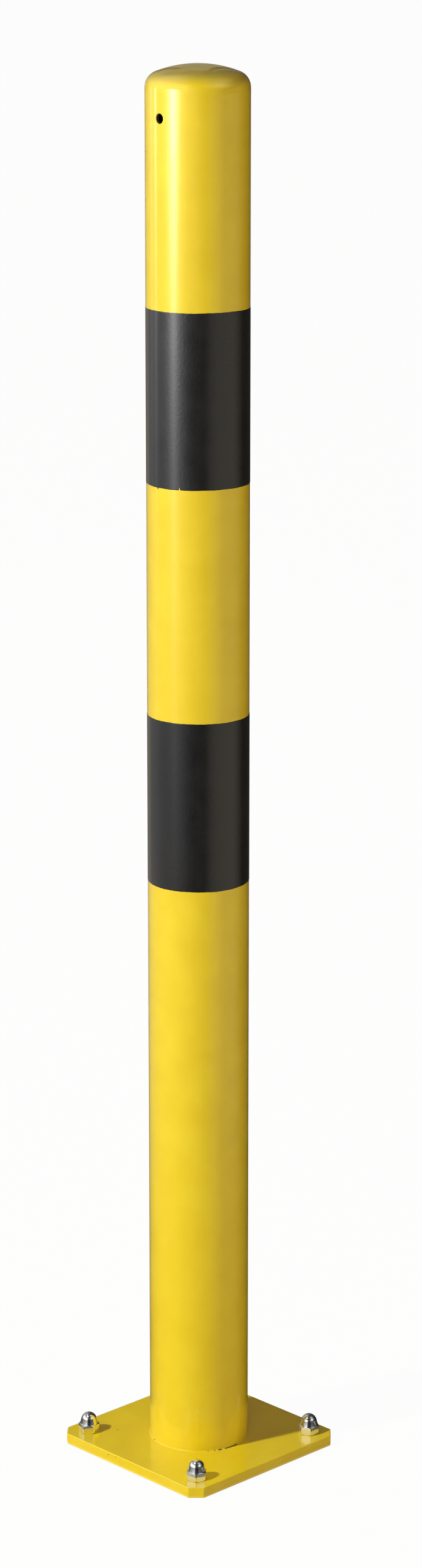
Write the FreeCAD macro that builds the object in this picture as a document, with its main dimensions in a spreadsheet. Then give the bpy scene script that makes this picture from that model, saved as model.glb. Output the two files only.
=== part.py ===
import FreeCAD, Part
import math
import os
import Sketcher

# Protection post: a steel tube welded into a square floor plate and closed by a pressed dome,
# with two black bands painted over its yellow coat and a cap nut over each of the plate's four
# anchor holes. Millimetres, +Z up, origin in the middle of the plate's underside.

FULL_TURN = 360
HEXAGON = 6
CORNERS = 4
# The turned section of a nut passes this much outside the corners of its hexagonal bar
TURNING_ROOM = 1.04

DIMENSIONS = (
    ("tube_diameter", 88.9, "outside of the post tube"),
    ("tube_wall", 3.2, "wall of the post tube"),
    ("tube_top", 1218, "upper end of the tube above the floor"),
    ("tube_setback", 5, "lower end of the tube above the plate's underside"),
    ("vent_diameter", 8.5, "vent hole through one side of the tube"),
    ("vent_drop", 20.5, "vent hole's centre below the tube's upper end"),
    ("cap_wall", 3.2, "sheet of the pressed dome"),
    ("cap_skirt", 0.5, "straight strip of the dome above its bevelled edge"),
    ("crown_radius", 100, "outside of the dome's shallow crown"),
    ("knuckle_radius", 14, "outside of the dome's rounded shoulder"),
    ("seam_width", 5, "weld groove between tube and dome, at the surface"),
    ("seam_root", 1, "butting edge left under the weld groove"),
    ("seam_crown", 0.3, "how far the dressed weld stands proud"),
    ("plate_width", 180, "width of the square floor plate, both ways"),
    ("plate_thickness", 10, "thickness of the floor plate"),
    ("corner_cut", 10, "leg of the 45 degree cut at each plate corner"),
    ("edge_radius", 0.8, "rounding of the plate's upper outline"),
    ("joint_gap", 0.25, "clearance around the tube in the plate"),
    ("foot_weld_leg", 3.6, "height of the weld bead under the tube's end"),
    ("foot_weld_land", 0.4, "tube edge left bare inside the weld bead"),
    ("anchor_hole", 12, "anchor holes of the plate"),
    ("anchor_inset", 19, "anchor hole centres from the plate's sides"),
    ("band_height", 150, "height of each black band"),
    ("band_gap", 203, "yellow field between the black bands"),
    ("top_field_height", 180, "yellow field above the upper black band"),
    ("paint_film", 0.2, "thickness of the black coat"),
    ("nut_flats", 17, "width of a cap nut across its flats"),
    ("nut_height", 18, "whole height of a cap nut"),
    ("nut_hex_height", 8, "height of the hexagon"),
    ("neck_foot", 16.2, "foot of the neck on the hexagon"),
    ("nut_chamfer", 30, "slope of the hexagon's chamfer in degrees"),
    ("nut_dome_radius", 7.2, "ball end of the cap"),
    ("nut_bore", 8.5, "core of the blind thread"),
    ("nut_bore_depth", 12.5, "depth of the thread"),
    ("nut_angle_front", 43, "turn of the front nut on its axis in degrees"),
    ("nut_angle_left", 13, "turn of the left nut"),
    ("nut_angle_right", 58, "turn of the right nut"),
    ("nut_angle_rear", 27, "turn of the rear nut"),
)

doc = FreeCAD.newDocument("protection_post")
sheet = doc.addObject("Spreadsheet::Sheet", "dims")
for row, (alias, value, note) in enumerate(DIMENSIONS, start=1):
    sheet.set(f"A{row}", alias)
    sheet.set(f"B{row}", str(value))
    sheet.setAlias(f"B{row}", alias)
    sheet.set(f"C{row}", note)
doc.recompute()

# Radii and heights that several pieces share, as expressions over the sheet
TUBE_RADIUS = "dims.tube_diameter / 2"
TUBE_BORE = f"({TUBE_RADIUS} - dims.tube_wall)"
TUBE_LENGTH = "(dims.tube_top - dims.tube_setback)"
SEAM_ROOT = f"({TUBE_BORE} + dims.seam_root)"
PLATE_BORE = f"({TUBE_RADIUS} + dims.joint_gap)"
ANCHOR_REACH = "(dims.plate_width / 2 - dims.anchor_inset)"
UPPER_BAND_FOOT = "dims.tube_top - dims.top_field_height - dims.band_height"
LOWER_BAND_FOOT = f"{UPPER_BAND_FOOT} - dims.band_gap - dims.band_height"


def origin_feature(body, role):
    """A plane or axis of the body's own origin."""
    return next(f for f in body.Origin.OriginFeatures if f.Role == role)


def new_body(label, height="0"):
    """An empty body that stands at a height above the floor."""
    body = doc.addObject("PartDesign::Body", label)
    body.Label = label
    body.setExpression("Placement.Base.z", height)
    return body


def new_sketch(body, name, role):
    """A sketch on one of the body's origin planes."""
    sketch = body.newObject("Sketcher::SketchObject", name)
    sketch.AttachmentSupport = [(origin_feature(body, role), "")]
    sketch.MapMode = "FlatFace"
    return sketch


def bind(sketch, kind, *args):
    """Add a constraint whose size, the last argument, is an expression."""
    *where, expression = args
    size = float(sketch.evalExpression(expression))
    index = sketch.addConstraint(Sketcher.Constraint(kind, *where, size))
    sketch.setExpression(f"Constraints[{index}]", expression)


def pin_point(sketch, curve, end, x, y):
    """Hold a point of a curve at two expressions measured from the sketch's origin."""
    for kind, zero_axis, expression in (("DistanceX", -2, x), ("DistanceY", -1, y)):
        if expression == "0":
            sketch.addConstraint(Sketcher.Constraint("PointOnObject", curve, end, zero_axis))
        else:
            bind(sketch, kind, -1, 1, curve, end, expression)


def arc_between(start, finish, radius, outward):
    """An arc from start to finish, bulging out of or into an outline walked anticlockwise."""
    chord = finish - start
    side = FreeCAD.Vector(-chord.y, chord.x, 0).normalize() * (1 if outward else -1)
    reach = math.sqrt(radius**2 - chord.Length**2 / 4)
    centre = (start + finish) / 2 + side * reach
    first, last = (start, finish) if outward else (finish, start)
    angles = [math.atan2((p - centre).y, (p - centre).x) for p in (first, last)]
    circle = Part.Circle(centre, FreeCAD.Vector(0, 0, 1), radius)
    return Part.ArcOfCircle(circle, *angles)


def outline(sketch, corners, arcs=None):
    """A closed loop through corners walked anticlockwise, each a pair of expressions.

    arcs gives the edges that are round: the number of the corner that the edge leaves, with its
    radius and whether it bulges outwards.
    """
    arcs = arcs or {}
    points = [
        FreeCAD.Vector(float(sketch.evalExpression(x)), float(sketch.evalExpression(y)), 0)
        for x, y in corners
    ]
    ends = []
    for i, start in enumerate(points):
        finish = points[(i + 1) % len(points)]
        if i in arcs:
            radius, outward = arcs[i]
            curve = arc_between(start, finish, float(sketch.evalExpression(radius)), outward)
            number = sketch.addGeometry(curve)
            ends.append((number, 1, 2) if outward else (number, 2, 1))
        else:
            number = sketch.addGeometry(Part.LineSegment(start, finish))
            ends.append((number, 1, 2))
    for i, (number, first, last) in enumerate(ends):
        following = ends[(i + 1) % len(ends)]
        joint = Sketcher.Constraint("Coincident", number, last, following[0], following[1])
        sketch.addConstraint(joint)
        pin_point(sketch, number, first, *corners[i])
        if i in arcs:
            bind(sketch, "Radius", number, arcs[i][0])


def circle(sketch, radius, x="0", y="0"):
    """A circle whose radius and centre are expressions."""
    size = float(sketch.evalExpression(radius))
    middle = [float(sketch.evalExpression(value)) for value in (x, y)]
    number = sketch.addGeometry(
        Part.Circle(FreeCAD.Vector(*middle, 0), FreeCAD.Vector(0, 0, 1), size)
    )
    pin_point(sketch, number, 3, x, y)
    bind(sketch, "Radius", number, radius)


def revolve(body, sketch):
    """Turn a half section once about the upright axis of its sketch."""
    turned = body.newObject("PartDesign::Revolution", f"{body.Name}_turned")
    turned.Profile = sketch
    turned.ReferenceAxis = (sketch, ["V_Axis"])
    turned.Angle = FULL_TURN
    return turned


def pad(body, sketch, length):
    """Raise a sketch by a length."""
    raised = body.newObject("PartDesign::Pad", f"{body.Name}_pad")
    raised.Profile = sketch
    raised.setExpression("Length", length)
    return raised


def through_cut(body, sketch, name):
    """Cut a sketch through everything behind its plane."""
    cut = body.newObject("PartDesign::Pocket", name)
    cut.Profile = sketch
    cut.Type = "ThroughAll"
    return cut


def make_tube():
    """The post tube: bevelled for the weld at its upper end, with one vent hole towards -X."""
    body = new_body("tube", "dims.tube_setback")
    section = new_sketch(body, "tube_section", "XZ_Plane")
    outline(
        section,
        [
            (TUBE_BORE, "0"),
            (TUBE_RADIUS, "0"),
            (TUBE_RADIUS, f"{TUBE_LENGTH} - dims.seam_width / 2"),
            (SEAM_ROOT, TUBE_LENGTH),
            (TUBE_BORE, TUBE_LENGTH),
        ],
    )
    revolve(body, section)
    vent = new_sketch(body, "vent_circle", "YZ_Plane")
    circle(vent, "dims.vent_diameter / 2", y=f"{TUBE_LENGTH} - dims.vent_drop")
    through_cut(body, vent, "vent_hole")
    return body


def make_cap():
    """The pressed dome: a shallow crown, a rounded shoulder and a short bevelled skirt."""
    body = new_body("dome", "dims.tube_top")
    shoulder_reach = f"({TUBE_RADIUS} - dims.knuckle_radius)"
    lean_cos = f"({shoulder_reach} / (dims.crown_radius - dims.knuckle_radius))"
    lean_sin = f"sqrt(1 - {lean_cos} ^ 2)"
    shoulder_height = "(dims.seam_width / 2 + dims.cap_skirt)"
    inner_knuckle = "(dims.knuckle_radius - dims.cap_wall)"
    crown_height = (
        f"({shoulder_height} + dims.crown_radius"
        f" - (dims.crown_radius - dims.knuckle_radius) * {lean_sin})"
    )
    inner_radius = f"{TUBE_RADIUS} - dims.cap_wall"
    section = new_sketch(body, "cap_section", "XZ_Plane")
    outline(
        section,
        [
            (inner_radius, "0"),
            (SEAM_ROOT, "0"),
            (TUBE_RADIUS, "dims.seam_width / 2"),
            (TUBE_RADIUS, shoulder_height),
            (
                f"{shoulder_reach} + dims.knuckle_radius * {lean_cos}",
                f"{shoulder_height} + dims.knuckle_radius * {lean_sin}",
            ),
            ("0", crown_height),
            ("0", f"{crown_height} - dims.cap_wall"),
            (
                f"{shoulder_reach} + {inner_knuckle} * {lean_cos}",
                f"{shoulder_height} + {inner_knuckle} * {lean_sin}",
            ),
            (inner_radius, shoulder_height),
        ],
        arcs={
            3: ("dims.knuckle_radius", True),
            4: ("dims.crown_radius", True),
            6: ("dims.crown_radius - dims.cap_wall", False),
            7: (inner_knuckle, False),
        },
    )
    revolve(body, section)
    return body


def make_cap_weld():
    """The weld that fills the groove between tube and dome, dressed to a low crown."""
    body = new_body("cap_weld", "dims.tube_top")
    section = new_sketch(body, "cap_weld_section", "XZ_Plane")
    outline(
        section,
        [
            (SEAM_ROOT, "0"),
            (TUBE_RADIUS, "-dims.seam_width / 2"),
            (TUBE_RADIUS, "dims.seam_width / 2"),
        ],
        arcs={
            1: (
                "(dims.seam_width ^ 2 / 4 + dims.seam_crown ^ 2) / (2 * dims.seam_crown)",
                True,
            )
        },
    )
    revolve(body, section)
    return body


def make_plate():
    """The floor plate: cut corners, a round hole for the tube and four anchor holes."""
    body = new_body("base_plate")
    half = "dims.plate_width / 2"
    shy = "(dims.plate_width / 2 - dims.corner_cut)"
    blank = new_sketch(body, "plate_outline", "XY_Plane")
    outline(
        blank,
        [
            (half, f"-{shy}"),
            (half, shy),
            (shy, half),
            (f"-{shy}", half),
            (f"-({half})", shy),
            (f"-({half})", f"-{shy}"),
            (f"-{shy}", f"-({half})"),
            (shy, f"-({half})"),
        ],
    )
    slab = pad(body, blank, "dims.plate_thickness")
    doc.recompute()
    top = slab.Shape.BoundBox.ZMax
    rim = [
        f"Edge{number}"
        for number, edge in enumerate(slab.Shape.Edges, start=1)
        if math.isclose(edge.BoundBox.ZMin, top, abs_tol=Part.Precision.confusion())
    ]
    rounded = body.newObject("PartDesign::Fillet", "plate_rim")
    rounded.Base = (slab, rim)
    rounded.setExpression("Radius", "dims.edge_radius")

    seat = new_sketch(body, "tube_seat_circle", "XY_Plane")
    circle(seat, PLATE_BORE)
    through_cut(body, seat, "tube_seat").Reversed = True

    anchor = new_sketch(body, "anchor_circle", "XY_Plane")
    circle(anchor, "dims.anchor_hole / 2", ANCHOR_REACH, ANCHOR_REACH)
    first_hole = through_cut(body, anchor, "anchor_hole")
    first_hole.Reversed = True
    holes = body.newObject("PartDesign::PolarPattern", "anchor_holes")
    holes.Originals = [first_hole]
    holes.Axis = (origin_feature(body, "Z_Axis"), [""])
    holes.Angle = FULL_TURN
    holes.Occurrences = CORNERS
    body.Tip = holes
    return body


def make_foot_weld():
    """The weld bead laid from below between the tube's set-back end and the plate's hole."""
    body = new_body("base_weld", "dims.tube_setback")
    section = new_sketch(body, "base_weld_section", "XZ_Plane")
    outline(
        section,
        [
            (f"{TUBE_BORE} + dims.foot_weld_land", "0"),
            (PLATE_BORE, "-dims.foot_weld_leg"),
            (PLATE_BORE, "0"),
        ],
    )
    revolve(body, section)
    return body


def make_band(label, foot):
    """A band of black coat around the tube."""
    body = new_body(label, foot)
    ring = new_sketch(body, f"{label}_ring", "XY_Plane")
    circle(ring, f"{TUBE_RADIUS} + dims.paint_film")
    circle(ring, TUBE_RADIUS)
    pad(body, ring, "dims.band_height")
    return body


def make_nut(place, x_side, y_side):
    """A cap nut on the plate: a hexagonal bar turned to a chamfered, domed and bored section."""
    corner = "dims.nut_flats / sqrt(3)"
    foot = "dims.neck_foot / 2"
    bore = "dims.nut_bore / 2"
    clear = f"({corner} * {TURNING_ROOM})"
    slope = "tan(dims.nut_chamfer * 1 deg)"
    chamfer = f"({clear} - {foot}) * {slope}"
    ball = "(dims.nut_height - dims.nut_dome_radius)"
    # The neck is a cone that runs from the hexagon's top into the ball end without a break
    rise = f"({ball} - dims.nut_hex_height)"
    sight = f"sqrt(({foot}) ^ 2 + {rise} ^ 2)"
    touch = f"(acos(dims.nut_dome_radius / {sight}) - atan({rise} / ({foot})))"

    turned = new_body(f"nut_section_{place}")
    section = new_sketch(turned, f"nut_half_section_{place}", "XZ_Plane")
    outline(
        section,
        [
            (bore, "0"),
            (clear, "0"),
            (clear, f"dims.nut_hex_height - {chamfer}"),
            (foot, "dims.nut_hex_height"),
            (
                f"dims.nut_dome_radius * cos({touch})",
                f"{ball} + dims.nut_dome_radius * sin({touch})",
            ),
            ("0", "dims.nut_height"),
            ("0", "dims.nut_bore_depth"),
            (bore, "dims.nut_bore_depth"),
        ],
        arcs={4: ("dims.nut_dome_radius", True)},
    )
    revolve(turned, section)

    bar = doc.addObject("Part::Prism", f"nut_bar_{place}")
    bar.Polygon = HEXAGON
    bar.setExpression("Circumradius", corner)
    bar.setExpression("Height", "dims.nut_height")

    nut = doc.addObject("Part::Common", f"nut_{place}")
    nut.Base = bar
    nut.Tool = turned
    nut.setExpression("Placement.Base.x", f"{x_side} * {ANCHOR_REACH}")
    nut.setExpression("Placement.Base.y", f"{y_side} * {ANCHOR_REACH}")
    nut.setExpression("Placement.Base.z", "dims.plate_thickness")
    nut.setExpression("Placement.Rotation.Angle", f"dims.nut_angle_{place} * 1 deg")
    return nut


def group(label, members):
    """Several solids of one finish, kept apart in one group."""
    together = doc.addObject("Part::Compound", label)
    together.Label = label
    together.Links = members
    return together


pieces = [
    group("capped_tube", [make_tube(), make_cap()]),
    group("weld_beads", [make_cap_weld(), make_foot_weld()]),
    make_plate(),
    group(
        "black_bands",
        [make_band("upper_band", UPPER_BAND_FOOT), make_band("lower_band", LOWER_BAND_FOOT)],
    ),
    group(
        "cap_nuts",
        [
            make_nut("front", -1, -1),
            make_nut("left", -1, 1),
            make_nut("right", 1, -1),
            make_nut("rear", 1, 1),
        ],
    ),
]
doc.recompute()

for item in doc.Objects:
    if {"Invalid", "Error"} & set(item.State):
        raise RuntimeError(f"{item.Label} did not build: {item.State}")
for piece in pieces:
    if piece.Shape.isNull() or not piece.Shape.isValid():
        raise RuntimeError(f"{piece.Label} has no valid shape")

os.makedirs("parts", exist_ok=True)
for piece in pieces:
    piece.Shape.exportStep(f"parts/{piece.Label}.step")
    box = piece.Shape.optimalBoundingBox(False)
    print(
        f"{piece.Label}: {len(piece.Shape.Solids)} solid(s), {piece.Shape.Volume:.0f} mm3, "
        f"x {box.XMin:.2f} to {box.XMax:.2f}, y {box.YMin:.2f} to {box.YMax:.2f}, "
        f"z {box.ZMin:.2f} to {box.ZMax:.2f}"
    )
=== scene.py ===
# %% [markdown]
# # A steel protection post in yellow and black
#
# The post is a painted steel tube with a pressed dome on top, welded into a square floor plate
# that four cap nuts hold down. The CAD model already has every size, so this lesson only dresses
# it: each CAD solid is replaced by a finer surface, and each surface gets a paint or a metal.
# The first cell loads the CAD model as a fixed frame. Everything after it is in the same metres
# and the same axes, so nothing has to be fitted by eye.

# %% Load the frame
import math

import bmesh
import bpy
import mathutils
import numpy as np
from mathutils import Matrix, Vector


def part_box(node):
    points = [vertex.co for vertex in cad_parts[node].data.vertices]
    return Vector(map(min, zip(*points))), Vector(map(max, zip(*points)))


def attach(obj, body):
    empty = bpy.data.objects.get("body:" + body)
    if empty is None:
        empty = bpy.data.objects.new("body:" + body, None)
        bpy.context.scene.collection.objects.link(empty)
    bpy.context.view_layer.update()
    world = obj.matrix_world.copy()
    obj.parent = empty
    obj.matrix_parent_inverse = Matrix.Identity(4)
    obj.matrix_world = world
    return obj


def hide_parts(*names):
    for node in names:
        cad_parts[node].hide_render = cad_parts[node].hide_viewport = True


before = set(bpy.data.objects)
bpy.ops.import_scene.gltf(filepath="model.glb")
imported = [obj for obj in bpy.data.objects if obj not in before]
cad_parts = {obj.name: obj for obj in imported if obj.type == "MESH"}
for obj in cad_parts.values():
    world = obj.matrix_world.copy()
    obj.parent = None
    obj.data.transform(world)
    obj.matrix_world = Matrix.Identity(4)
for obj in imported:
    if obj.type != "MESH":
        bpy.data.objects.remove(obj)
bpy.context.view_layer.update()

MM = 0.001
print("CAD nodes:", sorted(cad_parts))

# %% [markdown]
# ## Grids of points
#
# Almost everything on a post was turned, rolled or pressed, so one idea is enough for all of it:
# a grid of points with rows and columns. A profile gives the rows, and carrying it round gives
# the columns. One could also start from Blender's own cylinder and shape it by hand, but numpy
# works out the whole grid at once from the real sizes. A table of quads joins the points.

# %% Grid helpers
def full_turn(count):
    """Evenly spaced angles of one turn, without the first one again at the end."""
    return np.arange(count) * (2 * np.pi / count)


def around(reach, height, angles):
    """Points round Z: reach r and height z, which may differ at every angle a, give
    (r cos a, r sin a, z)."""
    reach, height, angles = np.broadcast_arrays(reach, height, angles)
    return np.stack([reach * np.cos(angles), reach * np.sin(angles), height], axis=-1)


def turned(profile, angles):
    """A profile turned about Z: each of its points, a radius and a height, becomes a row."""
    radius, height = np.asarray(profile, float).T
    return around(radius[:, None], height[:, None], angles)


def grid_quads(rows, columns, loop_rows=False, loop_columns=True):
    """Quads of a grid: corner (i, j) has the number i * columns + j, and each quad joins (i, j),
    (i, j + 1), (i + 1, j + 1) and (i + 1, j). A looped side goes on from its end to its start."""
    i, j = np.meshgrid(
        np.arange(rows if loop_rows else rows - 1),
        np.arange(columns if loop_columns else columns - 1),
        indexing="ij",
    )
    here = i * columns
    up = (i + 1) % rows * columns
    on = (j + 1) % columns
    return np.stack([here + j, here + on, up + on, up + j], axis=-1)


def looped(points):
    """The quads of a grid of points that closes on itself both ways."""
    return grid_quads(*points.shape[:2], loop_rows=True)


print("quads in a ring of 3 rows and 12 columns:", grid_quads(3, 12)[..., 0].size)

# %% [markdown]
# ## From a grid to an object
#
# In Blender an object shows a mesh of points and faces. Rows that shrink to one spot, as at the
# middle of a dome, are merged, so that poles are closed, and smooth shading blends the faces
# except across real edges. Each object also hides the CAD solids it stands for, and a count of
# edges tells whether its shell was left open.

# %% Build helper
MERGE_DISTANCE = 1e-7


def build(name, points, quads, slot, *nodes, crease=40):
    """Make one object from a grid: merge doubled points, shade it smooth except where two faces
    meet at more than the crease angle, hang it under the root body and hide the CAD nodes that it
    stands for."""
    mesh = bpy.data.meshes.new(name)
    corners = np.reshape(points, (-1, 3)).tolist()
    mesh.from_pydata(corners, [], np.reshape(quads, (-1, 4)).tolist())
    shell = bmesh.new()
    shell.from_mesh(mesh)
    bmesh.ops.remove_doubles(shell, verts=shell.verts, dist=MERGE_DISTANCE)
    open_edges = sum(1 for edge in shell.edges if not edge.is_manifold)
    shell.to_mesh(mesh)
    shell.free()
    mesh.shade_smooth()
    mesh.set_sharp_from_angle(angle=math.radians(crease))
    piece = bpy.data.objects.new(name, mesh)
    bpy.context.scene.collection.objects.link(piece)
    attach(piece, "root")
    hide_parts(*nodes)
    print(f"{name}: {len(mesh.polygons)} faces, {open_edges} open edges")
    return piece


print(f"points closer than {MERGE_DISTANCE / MM:.4f} mm are merged")

# %% [markdown]
# ## Holes in a grid
#
# The tube has a round vent hole and the plate has round anchor holes. A Boolean would cut them,
# but it leaves long thin faces that shade badly. Here a block of quads is taken out of the grid
# instead, and its square edge is drawn in to the round hole over a few rings, like the spokes of
# a web. The spokes keep the order of the grid, so the new faces look the same way as the others.

# %% Hole helpers
def block_edge(block, columns):
    """Point numbers round a block of the grid, given as first and last row, first and last
    column, walked the same way round as a quad."""
    low, high, left, right = block
    return np.concatenate([
        low * columns + np.arange(left, right) % columns,
        np.arange(low, high) * columns + right % columns,
        high * columns + np.arange(right, left, -1) % columns,
        np.arange(high, low, -1) * columns + left % columns,
    ])


def without_block(quads, block):
    """A mask over the quads of a grid: false inside the block, true elsewhere."""
    keep = np.ones(quads.shape[:2], bool)
    low, high, left, right = block
    keep[low:high, np.arange(left, right) % quads.shape[1]] = False
    return keep


def spokes(edge, rings, first_number):
    """Quads that join a walked edge to the rings inside it, each ring a row of as many points."""
    count = len(edge)
    inside = first_number + np.arange(len(rings) * count).reshape(-1, count)
    numbers = np.vstack([edge, inside])
    on = np.roll(numbers, -1, axis=1)
    return np.stack([numbers[:-1], on[:-1], on[1:], numbers[1:]], axis=-1).reshape(-1, 4)


print("points round a block of 2 by 3 quads:", len(block_edge((0, 2, 0, 3), 12)))

# %% [markdown]
# ## The tube
#
# The tube is steel, 88.9 mm across with a 3.2 mm wall. A cylinder with a Solidify modifier would
# look much the same from outside, but its ends would be plain. Here the profile is a closed loop:
# up the outside, over the bevel for the weld, down the bore and back under the foot. A straight
# wall needs few rows, but near the top they lie as close as the columns, so that the block taken
# out for the vent hole is square.

# %% Tube grid
TUBE_RADIUS = 44.45 * MM
TUBE_WALL = 3.2 * MM
TUBE_BORE = TUBE_RADIUS - TUBE_WALL
TUBE_FOOT = 5 * MM
TUBE_TOP = 1218 * MM
SEAM_HALF = 2.5 * MM
SEAM_ROOT = TUBE_BORE + 1 * MM
TUBE_COLUMNS = 180
TUBE_ROWS = 30
VENT_HEIGHT = 1197.5 * MM
VENT_SPAN = 5

tube_angles = full_turn(TUBE_COLUMNS)
pitch = TUBE_RADIUS * (tube_angles[1] - tube_angles[0])
vent_rows = VENT_HEIGHT + pitch * np.arange(-VENT_SPAN, VENT_SPAN + 1)
lower_rows = np.linspace(TUBE_FOOT, vent_rows[0], TUBE_ROWS)[:-1]
wall_heights = np.concatenate([lower_rows, vent_rows, [TUBE_TOP - SEAM_HALF]])
outside = np.column_stack([np.full(len(wall_heights), TUBE_RADIUS), wall_heights])
neck = np.array([[SEAM_ROOT, TUBE_TOP], [TUBE_BORE, TUBE_TOP]])
bore = np.column_stack([np.full(len(wall_heights), TUBE_BORE), wall_heights])[::-1]
tube_profile = np.vstack([outside, neck, bore])
tube_points = turned(tube_profile, tube_angles).reshape(-1, 3)
tube_quads = grid_quads(len(tube_profile), TUBE_COLUMNS, loop_rows=True)
print("points in the tube's grid:", len(tube_points))

# %% [markdown]
# ## The vent hole
#
# Near the tube's upper end a hole lets hot gas out while the post is galvanised or welded. The
# paint leaves a soft lip there, so the spokes run along the skin and bend inwards over half a
# millimetre before they go straight through the wall. Spokes in the bore end on the same circle.

# %% Tube with its vent
VENT_ANGLE = np.pi
VENT_RADIUS = 4.25 * MM
VENT_LIP = 0.6 * MM
LIP_STEPS = 6
SKIN_RADII = (6.2 * MM, 5.4 * MM)
BORE_RADII = (6 * MM, VENT_RADIUS)


def vent_ring(edge, radius, depth):
    """A ring of the vent hole: each point of the edge keeps its bearing round the hole's middle,
    and moves to the radius along it and to the depth below the skin."""
    x, y, z = tube_points[edge].T
    sideways = (np.arctan2(y, x) % (2 * np.pi) - VENT_ANGLE) * TUBE_RADIUS
    bearing = np.arctan2(z - VENT_HEIGHT, sideways)
    angle = VENT_ANGLE + radius * np.cos(bearing) / TUBE_RADIUS
    return around(TUBE_RADIUS - depth, VENT_HEIGHT + radius * np.sin(bearing), angle)


first_row = len(lower_rows)
last_row = first_row + 2 * VENT_SPAN
end_row = len(tube_profile) - 1
vent_columns = (TUBE_COLUMNS // 2 - VENT_SPAN, TUBE_COLUMNS // 2 + VENT_SPAN)
skin_block = (first_row, last_row, *vent_columns)
bore_block = (end_row - last_row, end_row - first_row, *vent_columns)
keep = without_block(tube_quads, skin_block) & without_block(tube_quads, bore_block)
skin_edge = block_edge(skin_block, TUBE_COLUMNS)
bore_edge = block_edge(bore_block, TUBE_COLUMNS)
bend = np.linspace(0, np.pi / 2, LIP_STEPS)
lip_radius = VENT_RADIUS + VENT_LIP * (1 - np.sin(bend))
lip_depth = VENT_LIP * (1 - np.cos(bend))
skin_rings = [vent_ring(skin_edge, r, 0) for r in SKIN_RADII]
skin_rings += [vent_ring(skin_edge, r, d) for r, d in zip(lip_radius, lip_depth)]
skin_rings += [vent_ring(skin_edge, VENT_RADIUS, TUBE_WALL)]
bore_rings = [vent_ring(bore_edge, r, TUBE_WALL) for r in BORE_RADII]
bore_start = len(tube_points) + len(skin_rings) * len(skin_edge)
tube_parts = [
    tube_quads[keep],
    spokes(skin_edge, skin_rings, len(tube_points)),
    spokes(bore_edge, bore_rings, bore_start),
]
vented_points = np.vstack([tube_points, *skin_rings, *bore_rings])
tube = build("tube", vented_points, np.vstack(tube_parts), "yellow_paint", "capped_tube")

# %% [markdown]
# ## The dome
#
# The cap is pressed from the same sheet: a shallow crown, a tight shoulder that the press rounds
# over, and a short straight skirt for the weld. A flattened sphere would be quicker, but it has no
# such shoulder. The two arcs share a tangent, so the lean of the line between their centres
# follows from their radii. The profile starts in the middle of the hollow side, goes out and down
# to the skirt, and comes back over the outside to the middle.

# %% Dome
CROWN_RADIUS = 100 * MM
SHOULDER_RADIUS = 14 * MM
SKIRT = 3 * MM
SHOULDER_STEPS = 22
CROWN_STEPS = 26

shoulder_reach = TUBE_RADIUS - SHOULDER_RADIUS
lean = math.acos(shoulder_reach / (CROWN_RADIUS - SHOULDER_RADIUS))
shoulder_height = TUBE_TOP + SKIRT
crown_centre = shoulder_height - (CROWN_RADIUS - SHOULDER_RADIUS) * math.sin(lean)


def dome_skin(inset):
    """The dome's profile from skirt to middle, moved inwards by the inset: an arc about the
    shoulder's centre up to the lean, then an arc about the crown's centre up to the axis."""
    low = np.linspace(0, lean, SHOULDER_STEPS)
    high = np.linspace(lean, np.pi / 2, CROWN_STEPS)[1:]
    shoulder = SHOULDER_RADIUS - inset
    crown = CROWN_RADIUS - inset
    reach = [shoulder_reach + shoulder * np.cos(low), crown * np.cos(high)]
    height = [shoulder_height + shoulder * np.sin(low), crown_centre + crown * np.sin(high)]
    return np.column_stack([np.concatenate(reach), np.concatenate(height)])


bevel = [(TUBE_BORE, TUBE_TOP), (SEAM_ROOT, TUBE_TOP), (TUBE_RADIUS, TUBE_TOP + SEAM_HALF)]
dome_profile = np.vstack([dome_skin(TUBE_WALL)[::-1], bevel, dome_skin(0)])
dome_profile[[0, -1], 0] = 0
dome_points = turned(dome_profile, tube_angles)
dome_quads = grid_quads(*dome_points.shape[:2])
dome = build("dome", dome_points, dome_quads, "yellow_paint", "capped_tube")
print("top of the dome in mm:", round(dome_profile[-1, 1] / MM, 2))

# %% [markdown]
# ## The weld under the dome
#
# This weld was ground down and painted over, so only a slow, shallow swelling is left of it, a
# little prouder on the left. It is a small section carried round the tube, with a sum of a few
# sine waves added to the bead's height. A noise texture could do that too, but whole numbers of
# waves make the ring close on itself.

# %% Seam weld
BEAD_COLUMNS = 480
SEAM_STEPS = 15
SEAM_SWELL = 0.02
SEAM_LEFT_SWELL = 0.08
SEAM_WAVES = [(7, 0.01, 0.4), (17, 0.006, 2.0), (41, 0.004, 1.1)]


def uneven(angles, waves):
    """A sum of sine waves round the ring, each given as count, height and starting angle."""
    return sum(height * np.sin(count * angles + start) for count, height, start in waves)


bead_angles = full_turn(BEAD_COLUMNS)
seam_across = np.linspace(-1, 1, SEAM_STEPS)
left_proud = (0.5 - 0.5 * np.cos(bead_angles)) ** 2
seam_swell = SEAM_SWELL + SEAM_LEFT_SWELL * left_proud + uneven(bead_angles, SEAM_WAVES)
seam_proud = np.outer((1 - seam_across**2) ** 1.5, seam_swell) * MM
seam_height = (TUBE_TOP + SEAM_HALF * seam_across)[:, None]
seam_top = around(TUBE_RADIUS + seam_proud, seam_height, bead_angles)
seam_points = np.concatenate([turned([[SEAM_ROOT, TUBE_TOP]], bead_angles), seam_top])
seam_weld = build("seam_weld", seam_points, looped(seam_points), "yellow_paint", "weld_beads")
print("proudest point of the seam in mm:", round(seam_proud.max() / MM, 3))

# %% [markdown]
# ## The weld at the foot
#
# The weld between tube and plate lies underneath, where nobody grinds, so it keeps its ripples.
# It is made in the same way, with a three-cornered section and with many more waves round the
# ring, one for each time the torch moved on.

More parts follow.
